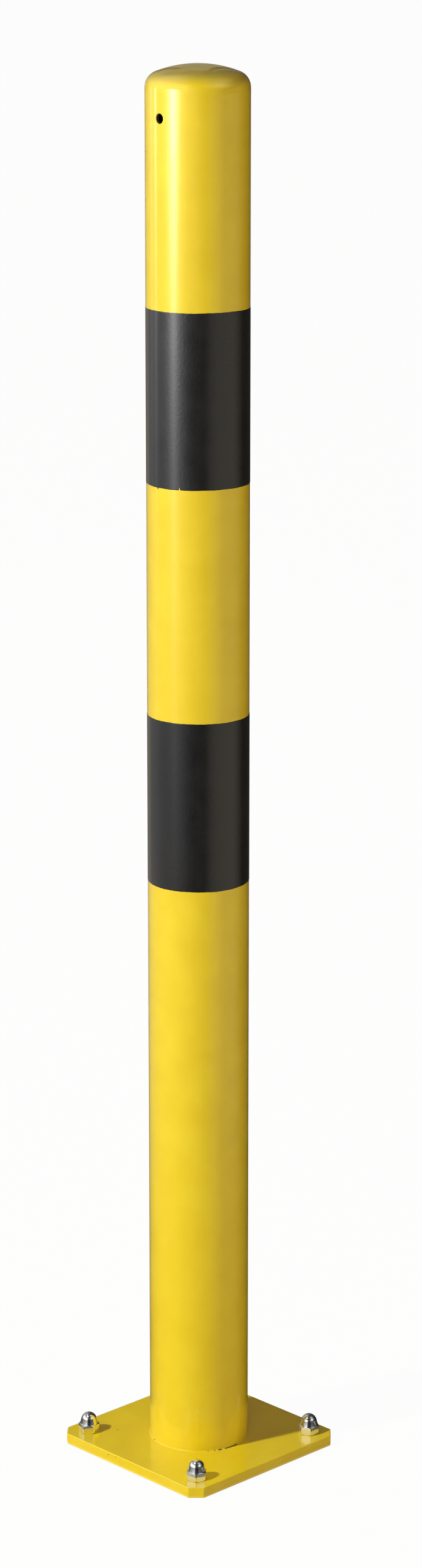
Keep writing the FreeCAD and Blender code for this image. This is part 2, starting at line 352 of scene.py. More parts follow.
# %% Foot weld
PLATE_TOP = 10 * MM
PLATE_BORE = TUBE_RADIUS + 0.25 * MM
FOOT_INNER = TUBE_BORE + 0.4 * MM
FOOT_LOW = 1.4 * MM
FOOT_STEPS = 11
FOOT_SWELL = 0.35 * MM
FOOT_WAVES = [(96, 0.16, 0.0), (11, 0.12, 0.9), (29, 0.06, 2.3)]

foot_across = np.linspace(0, 1, FOOT_STEPS)
foot_ripple = uneven(bead_angles, FOOT_WAVES) * MM
foot_swell = np.outer(np.sin(np.pi * foot_across), FOOT_SWELL - foot_ripple)
foot_reach = (FOOT_INNER + (PLATE_BORE - FOOT_INNER) * foot_across)[:, None]
foot_height = (TUBE_FOOT + (FOOT_LOW - TUBE_FOOT) * foot_across)[:, None] + foot_swell
foot_face = around(foot_reach, foot_height, bead_angles)
foot_points = np.concatenate([foot_face, turned([[PLATE_BORE, TUBE_FOOT]], bead_angles)])
foot_weld = build("foot_weld", foot_points, looped(foot_points), "yellow_paint", "weld_beads")

# %% [markdown]
# ## The floor plate
#
# The plate was cut from 10 mm flat bar with its corners cropped. A box could be cut to that shape,
# but a polar grid leads from the round hole to the straight sides without thin faces: every column
# is a ray from the tube, and the distance to the outline along the ray is the nearest of the
# straight sides and the cropped corners. The profile runs out along the underside, up the edge and
# back along the top. Rows and rays crowd together where the anchor holes will be.

# %% Plate grid
PLATE_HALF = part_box("base_plate")[1].x
CORNER_CUT = 10 * MM
ANCHOR_REACH = 71 * MM
DIAGONALS = np.array([45, 135, 225, 315])
HOLE_BLOCK = 9.5 * MM
HOLE_ROWS = 11
NEAR_SHARES = [0, 0.02, 0.06, 0.15, 0.3, 0.45]
RIM_SHARES = [0.92, 0.97, 1]

crop = math.degrees(math.atan2(PLATE_HALF, PLATE_HALF - CORNER_CUT)) - 45
from_diagonal = np.array([0, 1.1, 2.2, crop, 4.4, 5.5, 7, 10, 14, 19, 24, 30, 36, 40.5])
corner_rays = np.concatenate([-from_diagonal[:0:-1], from_diagonal, [45]])
plate_rays = np.radians((DIAGONALS[:, None] + corner_rays).ravel())
ray_x = np.abs(np.cos(plate_rays))
ray_y = np.abs(np.sin(plate_rays))
side_reach = PLATE_HALF / np.maximum(ray_x, ray_y)
crop_reach = (2 * PLATE_HALF - CORNER_CUT) / (ray_x + ray_y)
outline_reach = np.minimum(side_reach, crop_reach)
corner_depth = (PLATE_HALF - CORNER_CUT / 2) * math.sqrt(2) - PLATE_BORE
hole_share = (math.hypot(ANCHOR_REACH, ANCHOR_REACH) - PLATE_BORE) / corner_depth
hole_rows = hole_share + HOLE_BLOCK / corner_depth * np.linspace(-1, 1, HOLE_ROWS)
shares = np.concatenate([NEAR_SHARES, hole_rows, RIM_SHARES])


def plate_sheet(height):
    """One face of the plate: the ray's point at the share s lies at the distance
    bore + s * (outline - bore) from the axis."""
    reach = PLATE_BORE + shares[:, None] * (outline_reach - PLATE_BORE)
    return around(reach, height, plate_rays)


plate_grid = np.concatenate([plate_sheet(0), plate_sheet(PLATE_TOP)[::-1]])
plate_rows, plate_columns = plate_grid.shape[:2]
plate_points = plate_grid.reshape(-1, 3)
plate_quads = looped(plate_grid)[..., ::-1]
print("rows and rays of the plate's grid:", plate_rows, plate_columns)

# %% [markdown]
# ## The anchor holes
#
# A floor anchor comes up through each corner of the plate. The same block of quads is opened on
# both faces, and the spokes of the upper face go on down through the plate as the wall of the
# hole. A Bevel modifier then rounds every sharp edge a little, as thick paint does, which is
# simpler than rounding each edge in the grid.

# %% Plate with its holes
ANCHOR_RADIUS = 6 * MM
RING_RADII = (8 * MM, 7 * MM, ANCHOR_RADIUS)
UNDER_RINGS = [(radius, 0) for radius in RING_RADII]
OVER_RINGS = [(radius, PLATE_TOP) for radius in RING_RADII] + [(ANCHOR_RADIUS, 0)]
HOLE_COLUMNS = 5
EDGE_ROUNDING = 0.7 * MM
EDGE_STEPS = 3
EDGE_ANGLE = 30


def anchor_ring(edge, middle, radius, height):
    """A ring of an anchor hole: each point of the edge keeps its bearing round the middle, and
    moves to the radius along it."""
    x, y = (plate_points[edge] - middle)[:, :2].T
    return around(radius, height, np.arctan2(y, x)) + middle


first_row = len(NEAR_SHARES)
last_row = first_row + HOLE_ROWS - 1
end_row = plate_rows - 1
diagonals = len(from_diagonal) - 1 + np.arange(len(DIAGONALS)) * len(corner_rays)
keep = np.ones(plate_quads.shape[:2], bool)
new_points = [plate_points]
new_quads = []
for diagonal, side_x, side_y in zip(diagonals, (1, -1, -1, 1), (1, 1, -1, -1)):
    middle = np.array([side_x, side_y, 0]) * ANCHOR_REACH
    columns = (diagonal - HOLE_COLUMNS, diagonal + HOLE_COLUMNS)
    under = (first_row, last_row, *columns)
    over = (end_row - last_row, end_row - first_row, *columns)
    for block, ring_places in ((under, UNDER_RINGS), (over, OVER_RINGS)):
        keep &= without_block(plate_quads, block)
        edge = block_edge(block, plate_columns)
        rings = [anchor_ring(edge, middle, *ring_place) for ring_place in ring_places]
        new_quads.append(spokes(edge, rings, sum(map(len, new_points)))[:, ::-1])
        new_points += rings
plate = build(
    "base_plate_dressed",
    np.vstack(new_points),
    np.vstack([plate_quads[keep], *new_quads]),
    "yellow_paint",
    "base_plate",
)
edge_bevel = plate.modifiers.new("paint rounded edges", "BEVEL")
edge_bevel.width = EDGE_ROUNDING
edge_bevel.segments = EDGE_STEPS
edge_bevel.limit_method = "ANGLE"
edge_bevel.angle_limit = math.radians(EDGE_ANGLE)

# %% [markdown]
# ## Paint in the joint
#
# The tube stands in a hole that is a little too wide. Paint bridges that gap nearly all the way
# round as a small hollow fillet, but in front it has pulled back and left a broken dark line. The
# fillet is a quarter-round section carried round the tube. A mask over the angle sinks it where
# the line is open, and is kept in the mesh as an attribute, so that the yellow paint can colour
# those stretches near black: painted shade for the shade in the open gap.

# %% Joint paint
JOINT_COLUMNS = 1440
JOINT_STEPS = 9
JOINT_WAVES = [(9, 0.12, 0.3), (23, 0.1, 1.9), (57, 0.05, 0.7)]
FILLET_SIZE = 1.1
FILLET_SINK = 0.12 * MM
FILLET_SKIN = 0.02 * MM
OPEN_SHARE = 0.75
OPEN_JOINTS = [(236.9, 0.45), (245.0, 0.5), (251.6, 2.1), (267.2, 9.2)]
OPEN_SOFTNESS = 0.6
HIDDEN_REACH = TUBE_RADIUS - 0.3 * MM
HIDDEN_HEIGHT = PLATE_TOP - 2 * MM


def smooth_step(x):
    """0 below 0, 1 above 1, and 3x^2 - 2x^3 between."""
    x = np.clip(x, 0, 1)
    return x * x * (3 - 2 * x)


joint_angles = full_turn(JOINT_COLUMNS)
closed = np.ones(JOINT_COLUMNS)
for middle, half_width in OPEN_JOINTS:
    past_edge = np.abs(np.degrees(joint_angles) - middle) - half_width
    closed = np.minimum(closed, smooth_step(past_edge / OPEN_SOFTNESS + 0.5))
fillet_size = (FILLET_SIZE + uneven(joint_angles, JOINT_WAVES)) * MM
fillet_size = fillet_size * (OPEN_SHARE + (1 - OPEN_SHARE) * closed)
sweep = np.linspace(0, np.pi / 2, JOINT_STEPS)[::-1, None]
fillet_foot = TUBE_RADIUS + FILLET_SKIN - FILLET_SINK * (1 - closed)
fillet_reach = fillet_foot + fillet_size * (1 - np.cos(sweep))
fillet_height = PLATE_TOP + FILLET_SKIN + fillet_size * (1 - np.sin(sweep))
joint_points = np.concatenate([
    around(HIDDEN_REACH, HIDDEN_HEIGHT, joint_angles)[None],
    around(fillet_reach[0], HIDDEN_HEIGHT, joint_angles)[None],
    around(fillet_reach, fillet_height, joint_angles),
    around(HIDDEN_REACH, fillet_height[-1], joint_angles)[None],
])
joint_quads = looped(joint_points)
joint_paint = build("joint_paint", joint_points, joint_quads, "yellow_paint", "weld_beads")
# The mask also carries painted shade: the yellow paint colours the open stretches near black.
gap_shade_attribute = joint_paint.data.attributes.new("open_gap_shade", "FLOAT", "POINT")
gap_shade_attribute.data.foreach_set("value", np.tile(1 - closed, len(joint_points)).astype(np.float32))
print("open stretches of the joint:", len(OPEN_JOINTS))

# %% [markdown]
# ## The two black bands
#
# The bands were painted over the yellow between strips of tape. A colour mask in the yellow paint
# would show them too, but real tape leaves a small step, a slightly wandering edge and the odd
# spot where paint crept under it, and those catch the light. So each band is a thin sleeve whose
# film grows from nothing to two tenths of a millimetre within its edges.

# %% Black bands
PAINT_FILM = 0.2 * MM
BAND_COLUMNS = 1080
BAND_STEPS = 9
BAND_BACK = TUBE_RADIUS - 0.1 * MM
EDGE_INSETS = np.array([0, 0.12, 0.28, 0.5, 0.8, 1.2]) * MM
EDGE_FILM = np.array([0.02, 0.4, 0.8, 1, 0.97, 0.93])
UPPER_BAND = (888 * MM, 1038 * MM)
LOWER_BAND = (535 * MM, 685 * MM)
EDGE_WAVES = [
    [(3, 0.1, 0.5), (14, 0.07, 1.3), (45, 0.04, 2.2)],
    [(4, 0.12, 2.5), (11, 0.06, 0.2), (38, 0.05, 1.0)],
    [(5, 0.09, 1.5), (17, 0.06, 0.8), (52, 0.04, 0.4)],
    [(3, 0.11, 3.1), (13, 0.07, 2.7), (41, 0.04, 1.7)],
]
band_angles = full_turn(BAND_COLUMNS)


def creep(middle, width, height):
    """A narrow bell curve at one bearing: height * exp(-(away / width)^2), angles in degrees."""
    away = (np.degrees(band_angles) - middle) / width
    return height * MM * np.exp(-(away**2))


def painted_band(name, low, high, low_edge, high_edge):
    """A sleeve of paint: rows follow the wandering lower edge, then the straight middle, then the
    upper edge, and the reach is the tube's radius plus the film's share at that row."""
    middle = np.linspace(low, high, BAND_STEPS)[1:-1, None] + 0 * band_angles
    heights = np.concatenate([
        low + low_edge + EDGE_INSETS[:, None],
        middle,
        high + high_edge - EDGE_INSETS[::-1, None],
    ])
    share = np.concatenate([EDGE_FILM, np.full(len(middle), EDGE_FILM[-1]), EDGE_FILM[::-1]])
    sleeve = around(TUBE_RADIUS + (share * PAINT_FILM)[:, None], heights, band_angles)
    points = np.concatenate([sleeve, around(BAND_BACK, heights[[-1, 0]], band_angles)])
    return build(name, points, looped(points), "black_paint", "black_bands", crease=70)


wander = [uneven(band_angles, waves) * MM for waves in EDGE_WAVES]
tape_faults = creep(176.1, width=0.8, height=-1.5) + creep(205.4, width=0.5, height=2.4)
upper_band = painted_band("upper_band", *UPPER_BAND, wander[0] + tape_faults, wander[1])
lower_band = painted_band("lower_band", *LOWER_BAND, wander[2], wander[3])

# %% [markdown]
# ## Soft corners for the nuts
#
# Real edges are never quite sharp, and on bright metal it is the small rounding that catches the
# light. A Bevel modifier goes by the angle between faces, and the shallow arcs of a nut would come
# out uneven, so here a short curve takes the place of each corner of the profile.

# %% Corner helper
LONGEST_CUT = 0.45


def rounded(corners, cut, steps):
    """Round each inner corner of a profile: the point B between A and C gives way to the curve
    (1-t)^2 P + 2t(1-t) B + t^2 Q, where P and Q lie at the distance cut from B towards A and C."""
    before, at, after = corners[:-2], corners[1:-1], corners[2:]
    back = before - at
    ahead = after - at
    p = at + back * np.minimum(cut / np.linalg.norm(back, axis=-1, keepdims=True), LONGEST_CUT)
    q = at + ahead * np.minimum(cut / np.linalg.norm(ahead, axis=-1, keepdims=True), LONGEST_CUT)
    t = np.linspace(0, 1, steps).reshape((1, steps) + (1,) * (corners.ndim - 1))
    curve = (1 - t) ** 2 * p[:, None] + 2 * t * (1 - t) * at[:, None] + t**2 * q[:, None]
    curve = curve.reshape((-1,) + corners.shape[1:])
    return np.concatenate([corners[:1], curve, corners[-1:]])


print("a rounded corner takes at most this share of a side:", LONGEST_CUT)

# %% [markdown]
# ## The form of a cap nut
#
# A cap nut is turned from hexagon bar: the lathe leaves a cone-shaped chamfer that meets the six
# flats in low arcs, a tapered neck and a ball on top. The distance of a flat from the axis changes
# with the angle, and the chamfer's height follows from that distance, so the arcs appear by
# themselves. A drilled and countersunk bore closes the shape from below.

# %% Nut surface
NUT_HALF_FLATS = 8.5 * MM
NUT_CORNER = 9.58 * MM
HEX_HEIGHT = 8 * MM
NUT_HEIGHT = 18 * MM
NECK_FOOT = 8.1 * MM
BALL_RADIUS = 7.2 * MM
NUT_BORE = 4.25 * MM
NUT_BORE_DEPTH = 12.5 * MM
BORE_TIP = 0.01 * MM
COUNTERSINK = 0.8 * MM
SEAT_RADIUS = 8.2 * MM
UNDER_CHAMFER = 8.35 * MM
CHAMFER_SLOPE = math.tan(math.radians(30))
NUT_COLUMNS = 144
NUT_EDGE = 0.22 * MM
EDGE_POINTS = 4
BALL_STEPS = 22

nut_angles = full_turn(NUT_COLUMNS)
ball_height = NUT_HEIGHT - BALL_RADIUS
foot_bearing = math.atan2(HEX_HEIGHT - ball_height, NECK_FOOT)
foot_distance = math.hypot(NECK_FOOT, HEX_HEIGHT - ball_height)
tangent = foot_bearing + math.acos(BALL_RADIUS / foot_distance)


def nut_surface(turn):
    """The nut as rows from the end of its bore to the top of its ball, with flats at the distance
    h / cos(u) from the axis, u being the angle from the flat's middle, and chamfers that fall by
    tan(30 degrees) for each step outwards."""
    from_flat = (nut_angles - math.radians(turn)) % (np.pi / 3) - np.pi / 6
    flat = np.minimum(NUT_HALF_FLATS / np.cos(from_flat), NUT_CORNER)
    profile = [
        (BORE_TIP, NUT_BORE_DEPTH),
        (NUT_BORE, NUT_BORE_DEPTH),
        (NUT_BORE, COUNTERSINK),
        (NUT_BORE + COUNTERSINK, 0),
        (SEAT_RADIUS, 0),
        (flat, np.maximum(flat - UNDER_CHAMFER, 0) * CHAMFER_SLOPE),
        (flat, HEX_HEIGHT - (flat - NECK_FOOT) * CHAMFER_SLOPE),
        (NECK_FOOT, HEX_HEIGHT),
        (BALL_RADIUS * math.cos(tangent), ball_height + BALL_RADIUS * math.sin(tangent)),
    ]
    rows = np.array([around(reach, height, nut_angles) for reach, height in profile])
    sweep = np.linspace(tangent, np.pi / 2, BALL_STEPS)[1:, None]
    ball_reach = BALL_RADIUS * np.cos(sweep)
    ball = around(ball_reach, ball_height + BALL_RADIUS * np.sin(sweep), nut_angles)
    points = np.concatenate([rounded(rows, NUT_EDGE, EDGE_POINTS), ball])
    points[[0, -1], :, :2] = 0
    return points


print("points in a nut's grid:", nut_surface(0)[..., 0].size)

# %% [markdown]
# ## Four nuts
#
# Each nut was tightened until it was firm, so every one stands at another angle. Turned copies of
# one object would show the same marks, so the grid is worked out for each angle instead.

# %% Cap nuts
NUTS = {"front": (-1, -1, 43), "left": (-1, 1, 13), "right": (1, -1, 58), "rear": (1, 1, 27)}

nuts = []
for corner, (side_x, side_y, turn) in NUTS.items():
    foot = np.array([side_x * ANCHOR_REACH, side_y * ANCHOR_REACH, PLATE_TOP])
    points = nut_surface(turn) + foot
    quads = grid_quads(len(points), NUT_COLUMNS)
    name = f"{corner}_cap_nut"
    nuts.append(build(name, points, quads, "bright_nut_steel", "cap_nuts", crease=60))

# %% [markdown]
# ## Nodes without much typing
#
# A material is a small graph of nodes, in which a link carries a value from an output socket to
# an input socket. Building it by mouse is pleasant, but a script can be read and run again. These
# helpers add a node and feed its inputs with plain values or links.

# %% Node helpers
def feed(tree, node, values):
    """Feed a node's inputs, by name or number: a socket is linked, a plain value is set."""
    for name, value in values.items():
        if isinstance(value, bpy.types.NodeSocket):
            tree.links.new(value, node.inputs[name])
        else:
            node.inputs[name].default_value = value


def add(tree, kind, values=None, **options):
    """Add a node, set its options and feed its inputs."""
    node = tree.nodes.new(kind)
    for option, value in options.items():
        setattr(node, option, value)
    feed(tree, node, values or {})
    return node


def calculate(tree, operation, *values):
    """The result of a Math node, such as ADD or MULTIPLY, on sockets and plain numbers."""
    return add(tree, "ShaderNodeMath", dict(enumerate(values)), operation=operation).outputs[0]


def spread(tree, value, start, end, low=0.0, high=1.0, smooth=False):
    """Carry a value from the range start to end over to the range low to high, in a straight line
    or as 3x^2 - 2x^3, and hold it at the ends."""
    ranges = {"From Min": start, "From Max": end, "To Min": low, "To Max": high}
    curve = "SMOOTHSTEP" if smooth else "LINEAR"
    node = add(tree, "ShaderNodeMapRange", {"Value": value, **ranges}, interpolation_type=curve)
    return node.outputs["Result"]


def mix_colour(tree, factor, first, second):
    """The first colour times 1 - factor plus the second times factor."""
    mixed = {0: factor, 6: first, 7: second}
    return add(tree, "ShaderNodeMix", mixed, data_type="RGBA").outputs[2]


def height_of(tree, place):
    """The Z of a place."""
    return add(tree, "ShaderNodeSeparateXYZ", {0: place}).outputs["Z"]


print("materials so far:", len(bpy.data.materials))

# %% [markdown]
# ## Shared effects
#
# Sprayed paint never dries quite flat: it has fine pebbles, called orange peel, on top of slow
# waves. Every finish here needs that, each at its own size, so it is a node group with those
# sizes as inputs. A second group marks one round speck, and is placed once for each speck. A group
# saves building the same nodes again, and an edit reaches every user of it.

# %% Node groups
VECTOR = "NodeSocketVector"
FLOAT = "NodeSocketFloat"


def new_group(name, inputs, outputs):
    """An empty node group with named sockets: its tree, its input sockets and its output node."""
    tree = bpy.data.node_groups.new(name, "ShaderNodeTree")
    for socket, kind in inputs:
        tree.interface.new_socket(name=socket, in_out="INPUT", socket_type=kind)
    for socket, kind in outputs:
        tree.interface.new_socket(name=socket, in_out="OUTPUT", socket_type=kind)
    return tree, add(tree, "NodeGroupInput").outputs, add(tree, "NodeGroupOutput")


def noise(tree, vector, scale, detail, roughness):
    """Smooth noise from 0 to 1, mostly near one half."""
    values = {"Vector": vector, "Scale": scale, "Detail": detail, "Roughness": roughness}
    return add(tree, "ShaderNodeTexNoise", values).outputs["Fac"]


peel_group, given, result = new_group(
    "orange peel",
    [("Vector", VECTOR), ("Pebbles", FLOAT), ("Waves", FLOAT), ("Wave share", FLOAT)],
    [("Height", FLOAT), ("Mottle", FLOAT)],
)
pebbles = noise(peel_group, given["Vector"], given["Pebbles"], detail=1.5, roughness=0.45)
waves = noise(peel_group, given["Vector"], given["Waves"], detail=2.0, roughness=0.5)
wave_part = calculate(peel_group, "MULTIPLY", waves, given["Wave share"])
peel_height = calculate(peel_group, "ADD", pebbles, wave_part)
feed(peel_group, result, {"Height": peel_height, "Mottle": waves})

speck_group, given, result = new_group(
    "paint speck",
    [("Vector", VECTOR), ("Middle", VECTOR), ("Radius", FLOAT)],
    [("Mask", FLOAT)],
)
ends = {0: given["Vector"], 1: given["Middle"]}
away = add(speck_group, "ShaderNodeVectorMath", ends, operation="DISTANCE").outputs["Value"]
speck_share = calculate(speck_group, "DIVIDE", away, given["Radius"])
speck_mask = spread(speck_group, speck_share, start=1.0, end=0.5, smooth=True)
feed(speck_group, result, {"Mask": speck_mask})
print("node groups:", [group.name for group in bpy.data.node_groups])

# %% [markdown]
# ## How every finish starts and ends
#
# Each finish starts with Object coordinates, which stay fixed to the piece, and with orange peel
# at a size of its own. The peel's slow waves also serve as a mottle that lets colour and roughness
# drift a little, because no real surface is the same all over. A finish ends by feeding its
# Principled shader, and the material is then put on its pieces.

# %% Material helpers
def place_group(tree, group, values):
    """Put a node group into a material, feed its inputs and give its outputs."""
    return add(tree, "ShaderNodeGroup", values, node_tree=group).outputs


def new_material(name, pebbles, waves, wave_share):
    """A new material: itself, its tree, its Object coordinates and its orange peel."""
    material = bpy.data.materials.new(name)
    material.use_nodes = True
    tree = material.node_tree
    place = add(tree, "ShaderNodeTexCoord").outputs["Object"]
    sizes = {"Pebbles": pebbles, "Waves": waves, "Wave share": wave_share}
    return material, tree, place, place_group(tree, peel_group, {"Vector": place, **sizes})


def drift(tree, mottle, low=0.0, high=1.0):
    """Carry noise from the range 0.3 to 0.7, where it mostly lies, to the range low to high."""
    return spread(tree, mottle, 0.3, 0.7, low, high)


def bump(tree, height, depth, strength):
    """A normal tilted by a height, whose full range stands for the given depth."""
    values = {"Height": height, "Distance": depth, "Strength": strength}
    return add(tree, "ShaderNodeBump", values).outputs["Normal"]


def coat(pieces, material, values):
    """Feed a material's Principled shader and put the material on its pieces."""
    tree = material.node_tree
    feed(tree, tree.nodes["Principled BSDF"], values)
    for piece in pieces:
        piece.data.materials.append(material)
    print(f"{material.name}: on {len(pieces)} pieces")


print("sockets of the orange peel:", [item.name for item in peel_group.interface.items_tree])

# %% [markdown]
# ## Where the yellow changes
#
# The inside of the tube, with the wall of the vent hole, is coloured dark brown, and the crown of
# the dome is made darker from the shoulder up. A few dark specks sit where dirt was caught in the
# paint. Painting these by hand on an image would need a UV map. Each place is known as a height or
# as a distance instead, so a mask can be worked out for it from the Object coordinates.

# %% Masks for the yellow
DARK_INSIDE_DEPTH = 0.75 * MM
CROWN_DARKENING_HEIGHTS = (1.222, 1.236)
CROWN_DARKENING_STRENGTHS = (0.65, 0.85)


def inside_tube(tree, place):
    """1 where a point lies deeper than the inside depth below the tube's skin and lower than the
    seam,
    0 elsewhere: the step of the distance from Z times the step of the height."""
    level = {0: place, 1: (1, 1, 0)}
    flat = add(tree, "ShaderNodeVectorMath", level, operation="MULTIPLY").outputs["Vector"]
    reach = add(tree, "ShaderNodeVectorMath", {0: flat}, operation="LENGTH").outputs["Value"]
    near = calculate(tree, "LESS_THAN", reach, TUBE_RADIUS - DARK_INSIDE_DEPTH)
    low = calculate(tree, "LESS_THAN", height_of(tree, place), TUBE_TOP - SEAM_HALF)
    return calculate(tree, "MULTIPLY", near, low)


def crown_darkening(tree, place, mottle):
    """A darker tone on the flat crown: it sets in over the shoulder, and its strength drifts with
    the mottle."""
    edge = spread(tree, height_of(tree, place), *CROWN_DARKENING_HEIGHTS, smooth=True)
    return calculate(tree, "MULTIPLY", edge, drift(tree, mottle, *CROWN_DARKENING_STRENGTHS))


def speck_masks(tree, place, specks):
    """The highest of the masks of several specks, each a middle and a radius in millimetres."""
    highest = None
    for middle, radius in specks:
        spot = {"Vector": place, "Middle": np.multiply(middle, MM), "Radius": radius * MM}
        mask = place_group(tree, speck_group, spot)["Mask"]
        highest = mask if highest is None else calculate(tree, "MAXIMUM", highest, mask)
    return highest


# The crown turns darker between these heights.
print("the dust sets in between these heights in metres:", CROWN_DARKENING_HEIGHTS)

# %% [markdown]
# ## Yellow paint
#
# The yellow is a thick gloss coat. Two reflections lie over each other on the real post: a wide
# soft streak from the pigmented layer and a sharp one from the clear skin on top, so the
# Principled shader gets a fairly rough base under a smooth coat. The masks lay dirt specks, the
# dark brown of the inside, the darker crown and the painted shade of the open joint over the
# yellow in turn.

# %% Yellow paint
YELLOW_DEEP = (0.81, 0.61, 0.007, 1)
YELLOW_CLEAR = (0.85, 0.655, 0.011, 1)
# A darker colour laid over the crown of the dome.
CROWN_DARK_TONE = (0.20, 0.15, 0.04, 1)
DIRT = (0.05, 0.035, 0.015, 1)
# Dark brown for the inside of the tube and the wall of the vent hole.
DARK_INSIDE_TONE = (0.045, 0.036, 0.024, 1)
# Painted shade: a near-black colour for the shade in the open gap at the foot.
GAP_SHADE_COLOUR = (0.012, 0.008, 0.004, 1)
foot_speck = around(TUBE_RADIUS / MM, 10.6, math.radians(161.7))
DIRT_SPECKS = [
    ((-51.2, 54.2, 10), 0.8),
    ((-90, 24.3, 7.3), 0.7),
    ((-90, 14.5, 8.3), 0.6),
    (foot_speck, 0.9),
]

yellow, tree, place, peel = new_material(
    "yellow_paint_gloss", pebbles=420.0, waves=38.0, wave_share=2.5
)
mottle = peel["Mottle"]
open_gap_shade = add(tree, "ShaderNodeAttribute", attribute_name="open_gap_shade").outputs["Fac"]
hue = mix_colour(tree, drift(tree, mottle), YELLOW_DEEP, YELLOW_CLEAR)
hue = mix_colour(tree, speck_masks(tree, place, DIRT_SPECKS), hue, DIRT)
hue = mix_colour(tree, inside_tube(tree, place), hue, DARK_INSIDE_TONE)
hue = mix_colour(tree, crown_darkening(tree, place, mottle), hue, CROWN_DARK_TONE)
# Painted shade: the open stretches of the joint are coloured near black, as the shade in the gap.
hue = mix_colour(tree, open_gap_shade, hue, GAP_SHADE_COLOUR)
coat([tube, dome, seam_weld, foot_weld, plate, joint_paint], yellow, {
    "Base Color": hue,
    "Roughness": drift(tree, mottle, low=0.33, high=0.4),
    "Normal": bump(tree, peel["Height"], depth=0.06 * MM, strength=0.35),
    "Coat Weight": 1.0,
    "Coat Roughness": 0.06,
})

# %% [markdown]
# ## Black paint
#
# The black is a satin coat put on more thickly, with coarser peel and small pimples of dust under
# it. The pimples come from a Voronoi texture: near the middle of each cell its distance is small,
# and a steep ramp turns that into a low round bump. Its highlight is one soft grey stripe with a
# brighter core, so a rough base lies under a coat that is itself a little rough.

# %% Black paint
BLACK_DEEP = (0.0045, 0.0045, 0.0052, 1)
BLACK_PALE = (0.0075, 0.0074, 0.008, 1)
PIMPLE_EDGE, PIMPLE_TOP = 0.28, 0.05
PIMPLE_SHARE = 0.25

black, tree, place, peel = new_material(
    "black_paint_satin", pebbles=420.0, waves=60.0, wave_share=0.4
)
mottle = peel["Mottle"]
grains = {"Vector": place, "Scale": 240.0, "Randomness": 1.0}
from_grain = add(tree, "ShaderNodeTexVoronoi", grains).outputs["Distance"]
pimple = spread(tree, from_grain, PIMPLE_EDGE, PIMPLE_TOP, smooth=True)
relief = calculate(tree, "MULTIPLY_ADD", pimple, PIMPLE_SHARE, peel["Height"])
coat([upper_band, lower_band], black, {
    "Base Color": mix_colour(tree, drift(tree, mottle), BLACK_DEEP, BLACK_PALE),
    "Roughness": drift(tree, mottle, low=0.36, high=0.44),
    "Normal": bump(tree, relief, depth=0.3 * MM, strength=0.8),
    "Coat Weight": 1.0,
    "Coat Roughness": 0.17,
})

# %% [markdown]
# ## Bright nuts
#
# The nuts are bright plated steel, almost a mirror. A mirror only shows its surroundings, so the
# metal needs little more than a touch of noise in its roughness and very shallow waves from
# polishing.

# %% Bright nut steel
STEEL_DEEP = (0.84, 0.84, 0.83, 1)
STEEL_PALE = (0.92, 0.92, 0.9, 1)

bright, tree, place, peel = new_material(
    "bright_nut_steel_polished", pebbles=900.0, waves=160.0, wave_share=2.0
)
mottle = peel["Mottle"]
coat(nuts, bright, {
    "Base Color": mix_colour(tree, drift(tree, mottle), STEEL_DEEP, STEEL_PALE),
    "Roughness": drift(tree, mottle, low=0.07, high=0.13),
    "Normal": bump(tree, peel["Height"], depth=0.02 * MM, strength=0.25),
    "Metallic": 1.0,
})

# %% [markdown]
# ## Floor
#
# A large pale floor carries the post and takes its shadow. In the picture the ground should be
# white, but a brighter lamp would bleach the paint, so the floor itself glows a little: a Light
# Path node lets rays from the camera, and rays that a mirror or glass sends on, see more of a
# plain white than the rays that light the post.

# %% Floor
FLOOR_HALF = 60.0
FLOOR_LEVEL = -0.0003
FLOOR_COLOUR = (0.72, 0.655, 0.58, 1)
GLOW_SHARE = 0.97


def stage_piece(name, points, quads, material):
    """A piece of the stage, which is no part of the post, from points and quads."""
    mesh = bpy.data.meshes.new(name)
    corners = np.reshape(points, (-1, 3)).tolist()
    mesh.from_pydata(corners, [], np.reshape(quads, (-1, 4)).tolist())
    mesh.materials.append(material)
    piece = bpy.data.objects.new(name, mesh)
    bpy.context.scene.collection.objects.link(piece)
    return piece


def empty_material(name):
    """A material with no nodes, and its tree."""
    material = bpy.data.materials.new(name)
    material.use_nodes = True
    material.node_tree.nodes.clear()
    return material, material.node_tree


floor_finish, tree = empty_material("studio_floor_white")
matt = add(tree, "ShaderNodeBsdfDiffuse", {"Color": FLOOR_COLOUR})
glow = add(tree, "ShaderNodeEmission", {"Color": (1, 1, 1, 1), "Strength": 1.0})
rays = add(tree, "ShaderNodeLightPath").outputs
seen = calculate(tree, "MAXIMUM", rays["Is Camera Ray"], rays["Is Glossy Ray"])
seen = calculate(tree, "MAXIMUM", seen, rays["Is Transmission Ray"])
share = calculate(tree, "MULTIPLY", seen, GLOW_SHARE)
blend = add(tree, "ShaderNodeMixShader", {0: share, 1: matt.outputs[0], 2: glow.outputs[0]})
add(tree, "ShaderNodeOutputMaterial", {"Surface": blend.outputs[0]})

corners = np.array([[-1, -1], [1, -1], [1, 1], [-1, 1]]) * FLOOR_HALF
floor_points = np.column_stack([corners, np.full(len(corners), FLOOR_LEVEL)])
floor = stage_piece("studio_floor", floor_points, [[0, 1, 2, 3]], floor_finish)
print(f"{floor.name}: {2 * FLOOR_HALF:.0f} m wide")

# %% [markdown]
# ## Lamps
#
# One firm key light from the left gives the post its bright side and the shadows of the nuts. It
# is a disc nine metres away, so the level falls only a little from top to foot, and wide enough to
# soften the shadow edges. A weak lamp beside the camera fills the front, and a warm one on the
# right stands for light thrown back from there. None of them shows in reflections, which get
# shapes of their own further down.

